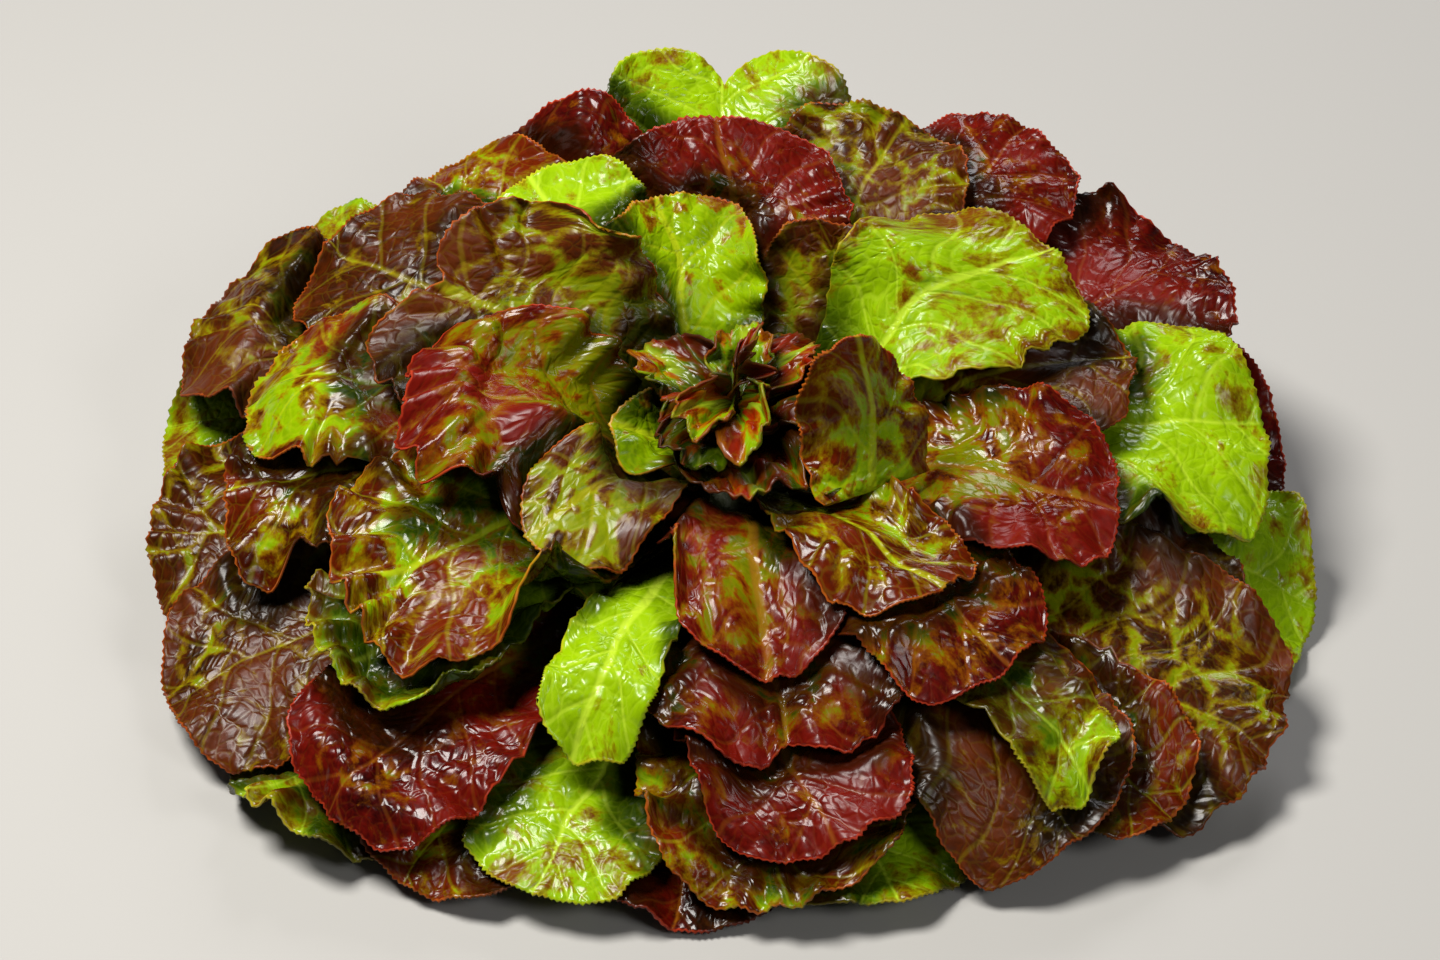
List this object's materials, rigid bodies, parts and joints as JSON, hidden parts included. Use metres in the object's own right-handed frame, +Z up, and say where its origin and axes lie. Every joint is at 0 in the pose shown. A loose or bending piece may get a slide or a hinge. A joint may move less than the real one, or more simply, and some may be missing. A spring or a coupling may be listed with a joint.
{
  "type": "head of leaf lettuce",
  "caption": "Open head of red and green loose-leaf lettuce: broad ruffled leaves in whorls round a short cut stem, with a tight crumpled heart on top.",
  "frame": {"origin": "middle of the cut face of the stem, on the table", "axes": "+Z up along the stem, +X to the right and -Y towards the front, where the leaves lie lowest"},
  "size_m": [0.2992, 0.2544, 0.0996],
  "materials": {
    "stem": "pale green-white stem, matt",
    "leaf_green": "bright green leaf, glossy",
    "leaf_mixed": "green leaf blotched with red, glossy",
    "leaf_bronze": "bronze to olive leaf, glossy",
    "leaf_red": "dark red leaf, glossy"
  },
  "bodies": {
    "root": {"stem": "stem", "leaf_01": "leaf_mixed", "leaf_02": "leaf_red", "leaf_03": "leaf_green", "leaf_04": "leaf_bronze", "leaf_05": "leaf_green", "leaf_06": "leaf_mixed", "leaf_07": "leaf_red", "leaf_08": "leaf_green", "leaf_09": "leaf_red", "leaf_10": "leaf_green", "leaf_11": "leaf_green", "leaf_12": "leaf_bronze", "leaf_13": "leaf_green", "leaf_14": "leaf_mixed", "leaf_15": "leaf_bronze", "leaf_16": "leaf_green", "leaf_17": "leaf_red", "leaf_18": "leaf_green", "leaf_19": "leaf_bronze", "leaf_20": "leaf_bronze", "leaf_21": "leaf_bronze", "leaf_22": "leaf_red", "leaf_23": "leaf_mixed", "leaf_24": "leaf_bronze", "leaf_25": "leaf_red", "leaf_26": "leaf_bronze", "leaf_27": "leaf_red", "leaf_28": "leaf_mixed", "leaf_29": "leaf_bronze", "leaf_30": "leaf_green", "leaf_31": "leaf_red", "leaf_32": "leaf_red", "leaf_33": "leaf_mixed", "leaf_34": "leaf_bronze", "leaf_35": "leaf_bronze", "leaf_36": "leaf_green", "leaf_37": "leaf_green", "leaf_38": "leaf_red", "leaf_39": "leaf_green", "leaf_40": "leaf_mixed", "leaf_41": "leaf_mixed", "leaf_42": "leaf_green", "leaf_43": "leaf_red", "leaf_44": "leaf_red", "leaf_45": "leaf_green", "leaf_46": "leaf_bronze", "leaf_47": "leaf_mixed", "leaf_48": "leaf_bronze", "leaf_49": "leaf_mixed", "leaf_50": "leaf_red", "leaf_51": "leaf_bronze", "leaf_52": "leaf_green", "leaf_53": "leaf_red", "leaf_54": "leaf_red", "leaf_55": "leaf_mixed", "leaf_56": "leaf_bronze", "leaf_57": "leaf_mixed", "leaf_58": "leaf_mixed", "heart": "leaf_mixed"}
  },
  "joints": []
}
